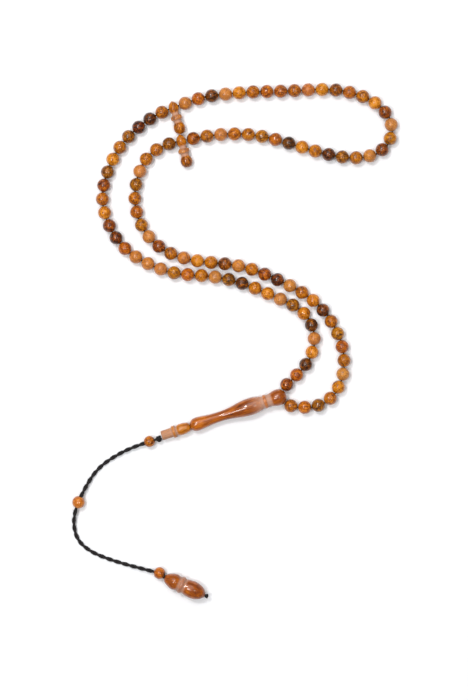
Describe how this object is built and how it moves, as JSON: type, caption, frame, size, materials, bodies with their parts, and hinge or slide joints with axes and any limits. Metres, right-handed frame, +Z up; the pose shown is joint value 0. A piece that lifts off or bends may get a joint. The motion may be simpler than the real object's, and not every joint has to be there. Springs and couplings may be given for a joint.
{
  "type": "misbaha prayer beads",
  "caption": "Loop of round wooden prayer beads on a string, parted by turned separators, with a long turned imame and a cord tail ending in a turned finial.",
  "frame": {"origin": "centre of the loop's footprint, imame and tepelik included and the cord tail left out, on the surface it lies on", "axes": "+Z up from the surface, +Y along the loop's length from the imame towards the separators, +X to the right seen from above"},
  "size_m": [0.1953, 0.309, 0.0107],
  "materials": {
    "main_beads": "polished",
    "tail_beads": "polished",
    "turned_pieces": "polished, with matte carved necks",
    "string": "thin dark string",
    "tail_cord": "twisted black cord"
  },
  "bodies": {
    "loop": {"string_first_strand": "string", "string_last_strand": "string", "beads_17_to_25": "main_beads", "beads_26_to_33": "main_beads", "beads_67_to_75": "main_beads", "beads_76_to_83": "main_beads"},
    "far_upper_arm": {"string_far_upper": "string", "beads_34_to_40": "main_beads"},
    "far_end": {"string_far_end": "string", "beads_41_to_50": "main_beads", "beads_51_to_59": "main_beads"},
    "far_lower_arm": {"string_far_lower": "string", "beads_60_to_66": "main_beads"},
    "separator_1": {"separator_1": "turned_pieces"},
    "separator_2": {"separator_2": "turned_pieces"},
    "imame": {"imame": "turned_pieces", "string_in_imame": "string"},
    "tepelik": {"tepelik": "turned_pieces"},
    "tail_upper": {"tail_knot": "tail_cord", "tail_cord_upper": "tail_cord"},
    "tail_bead_upper": {"tail_bead_upper": "tail_beads"},
    "tail_bead_middle": {"tail_bead_middle": "tail_beads"},
    "tail_lower": {"tail_cord_lower": "tail_cord"},
    "tail_bead_lower": {"tail_bead_lower": "tail_beads"},
    "tail_end": {"tail_cord_end": "tail_cord", "tail_end_knot": "tail_cord"},
    "tail_end_piece": {"tail_end_piece": "turned_pieces"},
    "bead_01": {"bead_01": "main_beads"},
    "bead_02": {"bead_02": "main_beads"},
    "bead_03": {"bead_03": "main_beads"},
    "bead_04": {"bead_04": "main_beads"},
    "bead_05": {"bead_05": "main_beads"},
    "bead_06": {"bead_06": "main_beads"},
    "bead_07": {"bead_07": "main_beads"},
    "bead_08": {"bead_08": "main_beads"},
    "bead_09": {"bead_09": "main_beads"},
    "bead_10": {"bead_10": "main_beads"},
    "bead_11": {"bead_11": "main_beads"},
    "bead_12": {"bead_12": "main_beads"},
    "bead_13": {"bead_13": "main_beads"},
    "bead_14": {"bead_14": "main_beads"},
    "bead_15": {"bead_15": "main_beads"},
    "bead_16": {"bead_16": "main_beads"},
    "bead_84": {"bead_84": "main_beads"},
    "bead_85": {"bead_85": "main_beads"},
    "bead_86": {"bead_86": "main_beads"},
    "bead_87": {"bead_87": "main_beads"},
    "bead_88": {"bead_88": "main_beads"},
    "bead_89": {"bead_89": "main_beads"},
    "bead_90": {"bead_90": "main_beads"},
    "bead_91": {"bead_91": "main_beads"},
    "bead_92": {"bead_92": "main_beads"},
    "bead_93": {"bead_93": "main_beads"},
    "bead_94": {"bead_94": "main_beads"},
    "bead_95": {"bead_95": "main_beads"},
    "bead_96": {"bead_96": "main_beads"},
    "bead_97": {"bead_97": "main_beads"},
    "bead_98": {"bead_98": "main_beads"},
    "bead_99": {"bead_99": "main_beads"}
  },
  "joints": [
    {"name": "imame_swing", "type": "hinge", "parent": "loop", "child": "imame", "pos_m": [0.0188, -0.08128, 0.00572], "axis": [0, 0, 1], "range_deg": [-15, 15]},
    {"name": "cord_swing", "type": "hinge", "parent": "imame", "child": "tail_upper", "pos_m": [-0.0526, -0.10608, 0.004], "axis": [0, 0, 1], "range_deg": [-60, 60]},
    {"name": "cord_bend", "type": "hinge", "parent": "tail_upper", "child": "tail_lower", "pos_m": [-0.10283, -0.14891, 0.00396], "axis": [0, 0, -1], "range_deg": [-40, 60]},
    {"name": "end_piece_swing", "type": "hinge", "parent": "tail_lower", "child": "tail_end", "pos_m": [-0.0523, -0.18658, 0.00355], "axis": [0, 0, 1], "range_deg": [-35, 35]},
    {"name": "far_loop_sway", "type": "hinge", "parent": "loop", "child": "far_upper_arm", "pos_m": [-0.04041, 0.09337, 0.004], "axis": [0, 0, 1], "range_deg": [-10, 10]},
    {"name": "far_loop_end_turn", "type": "hinge", "parent": "far_upper_arm", "child": "far_end", "pos_m": [0.01609, 0.10178, 0.004], "axis": [0, 0, 1], "range_deg": [-10, 10]},
    {"name": "far_loop_lower_turn", "type": "hinge", "parent": "loop", "child": "far_lower_arm", "pos_m": [-0.03568, 0.0729, 0.004], "axis": [0, 0, 1], "range_deg": [-12, 12]},
    {"name": "separator_1_lift", "type": "hinge", "parent": "loop", "child": "separator_1", "pos_m": [-0.04388, 0.09201, 0.004], "axis": [-0.9362, -0.3515, 0], "range_deg": [0, 180]},
    {"name": "separator_2_lift", "type": "hinge", "parent": "loop", "child": "separator_2", "pos_m": [-0.03933, 0.07211, 0.004], "axis": [-0.9812, -0.193, 0], "range_deg": [0, 110]},
    {"name": "spin_tepelik", "type": "hinge", "parent": "imame", "child": "tepelik", "pos_m": [-0.03406, -0.09876, 0.00416], "axis": [-0.9491, -0.3139, -0.0279], "continuous": true},
    {"name": "spin_tail_bead_upper", "type": "hinge", "parent": "tail_upper", "child": "tail_bead_upper", "pos_m": [-0.05833, -0.10778, 0.00348], "axis": [-0.9551, -0.2834, -0.0863], "continuous": true},
    {"name": "spin_tail_bead_middle", "type": "hinge", "parent": "tail_upper", "child": "tail_bead_middle", "pos_m": [-0.1008, -0.14418, 0.00375], "axis": [-0.395, -0.9178, 0.0407], "continuous": true},
    {"name": "spin_tail_bead_lower", "type": "hinge", "parent": "tail_lower", "child": "tail_bead_lower", "pos_m": [-0.0523, -0.18658, 0.00355], "axis": [0.9651, -0.2271, 0.1306], "continuous": true},
    {"name": "spin_end_piece", "type": "hinge", "parent": "tail_end", "child": "tail_end_piece", "pos_m": [-0.0491, -0.18898, 0.0053], "axis": [0.9135, -0.4067, 0], "continuous": true},
    {"name": "spin_bead_01", "type": "hinge", "parent": "loop", "child": "bead_01", "pos_m": [0.02389, -0.07369, 0.004], "axis": [0.7483, 0.6634, 0], "continuous": true},
    {"name": "spin_bead_02", "type": "hinge", "parent": "loop", "child": "bead_02", "pos_m": [0.02984, -0.06794, 0.004], "axis": [0.7012, 0.7129, 0], "continuous": true},
    {"name": "spin_bead_03", "type": "hinge", "parent": "loop", "child": "bead_03", "pos_m": [0.03526, -0.06169, 0.004], "axis": [0.5824, 0.8129, 0], "continuous": true},
    {"name": "spin_bead_04", "type": "hinge", "parent": "loop", "child": "bead_04", "pos_m": [0.03902, -0.05432, 0.004], "axis": [0.3254, 0.9456, 0], "continuous": true},
    {"name": "spin_bead_05", "type": "hinge", "parent": "loop", "child": "bead_05", "pos_m": [0.04033, -0.04616, 0.004], "axis": [-0.0168, 0.9999, 0], "continuous": true},
    {"name": "spin_bead_06", "type": "hinge", "parent": "loop", "child": "bead_06", "pos_m": [0.03864, -0.03806, 0.004], "axis": [-0.382, 0.9242, 0], "continuous": true},
    {"name": "spin_bead_07", "type": "hinge", "parent": "loop", "child": "bead_07", "pos_m": [0.03414, -0.03112, 0.004], "axis": [-0.6988, 0.7153, 0], "continuous": true},
    {"name": "spin_bead_08", "type": "hinge", "parent": "loop", "child": "bead_08", "pos_m": [0.02751, -0.02617, 0.004], "axis": [-0.8765, 0.4815, 0], "continuous": true},
    {"name": "spin_bead_09", "type": "hinge", "parent": "loop", "child": "bead_09", "pos_m": [0.02005, -0.02261, 0.004], "axis": [-0.9178, 0.3971, 0], "continuous": true},
    {"name": "spin_bead_10", "type": "hinge", "parent": "loop", "child": "bead_10", "pos_m": [0.01248, -0.01926, 0.004], "axis": [-0.916, 0.4011, 0], "continuous": true},
    {"name": "spin_bead_11", "type": "hinge", "parent": "loop", "child": "bead_11", "pos_m": [0.00487, -0.01601, 0.004], "axis": [-0.9261, 0.3772, 0], "continuous": true},
    {"name": "spin_bead_12", "type": "hinge", "parent": "loop", "child": "bead_12", "pos_m": [-0.00288, -0.01314, 0.004], "axis": [-0.9485, 0.3169, 0], "continuous": true},
    {"name": "spin_bead_13", "type": "hinge", "parent": "loop", "child": "bead_13", "pos_m": [-0.01084, -0.01086, 0.004], "axis": [-0.9735, 0.2287, 0], "continuous": true},
    {"name": "spin_bead_14", "type": "hinge", "parent": "loop", "child": "bead_14", "pos_m": [-0.01897, -0.00936, 0.004], "axis": [-0.9906, 0.1367, 0], "continuous": true},
    {"name": "spin_bead_15", "type": "hinge", "parent": "loop", "child": "bead_15", "pos_m": [-0.0272, -0.00848, 0.004], "axis": [-0.9974, 0.0721, 0], "continuous": true},
    {"name": "spin_bead_16", "type": "hinge", "parent": "loop", "child": "bead_16", "pos_m": [-0.03545, -0.00788, 0.004], "axis": [-0.9968, 0.0798, 0], "continuous": true},
    {"name": "spin_bead_84", "type": "hinge", "parent": "loop", "child": "bead_84", "pos_m": [0.01071, -0.00762, 0.004], "axis": [0.9247, -0.3806, 0], "continuous": true},
    {"name": "spin_bead_85", "type": "hinge", "parent": "loop", "child": "bead_85", "pos_m": [0.01831, -0.01089, 0.004], "axis": [0.9109, -0.4126, 0], "continuous": true},
    {"name": "spin_bead_86", "type": "hinge", "parent": "loop", "child": "bead_86", "pos_m": [0.02576, -0.01447, 0.004], "axis": [0.8908, -0.4543, 0], "continuous": true},
    {"name": "spin_bead_87", "type": "hinge", "parent": "loop", "child": "bead_87", "pos_m": [0.03297, -0.01852, 0.004], "axis": [0.8506, -0.5259, 0], "continuous": true},
    {"name": "spin_bead_88", "type": "hinge", "parent": "loop", "child": "bead_88", "pos_m": [0.0397, -0.02333, 0.004], "axis": [0.7677, -0.6408, 0], "continuous": true},
    {"name": "spin_bead_89", "type": "hinge", "parent": "loop", "child": "bead_89", "pos_m": [0.04557, -0.02917, 0.004], "axis": [0.6489, -0.7609, 0], "continuous": true},
    {"name": "spin_bead_90", "type": "hinge", "parent": "loop", "child": "bead_90", "pos_m": [0.05044, -0.03585, 0.004], "axis": [0.5305, -0.8477, 0], "continuous": true},
    {"name": "spin_bead_91", "type": "hinge", "parent": "loop", "child": "bead_91", "pos_m": [0.05432, -0.04316, 0.004], "axis": [0.404, -0.9148, 0], "continuous": true},
    {"name": "spin_bead_92", "type": "hinge", "parent": "loop", "child": "bead_92", "pos_m": [0.057, -0.05098, 0.004], "axis": [0.2401, -0.9708, 0], "continuous": true},
    {"name": "spin_bead_93", "type": "hinge", "parent": "loop", "child": "bead_93", "pos_m": [0.05815, -0.05917, 0.004], "axis": [0.0378, -0.9993, 0], "continuous": true},
    {"name": "spin_bead_94", "type": "hinge", "parent": "loop", "child": "bead_94", "pos_m": [0.05749, -0.06742, 0.004], "axis": [-0.199, -0.98, 0], "continuous": true},
    {"name": "spin_bead_95", "type": "hinge", "parent": "loop", "child": "bead_95", "pos_m": [0.05475, -0.07522, 0.004], "axis": [-0.4457, -0.8952, 0], "continuous": true},
    {"name": "spin_bead_96", "type": "hinge", "parent": "loop", "child": "bead_96", "pos_m": [0.04991, -0.08193, 0.004], "axis": [-0.7303, -0.6831, 0], "continuous": true},
    {"name": "spin_bead_97", "type": "hinge", "parent": "loop", "child": "bead_97", "pos_m": [0.04278, -0.08613, 0.004], "axis": [-0.9509, -0.3095, 0], "continuous": true},
    {"name": "spin_bead_98", "type": "hinge", "parent": "loop", "child": "bead_98", "pos_m": [0.03459, -0.08728, 0.004], "axis": [-1, 0.0016, 0], "continuous": true},
    {"name": "spin_bead_99", "type": "hinge", "parent": "loop", "child": "bead_99", "pos_m": [0.02636, -0.08641, 0.004], "axis": [-0.9744, 0.2247, 0], "continuous": true}
  ],
  "couplings": [
    {"joint": "far_loop_end_turn", "follows": "far_loop_sway", "ratio": -0.6859},
    {"joint": "far_loop_lower_turn", "follows": "far_loop_sway", "ratio": 1.0223}
  ]
}
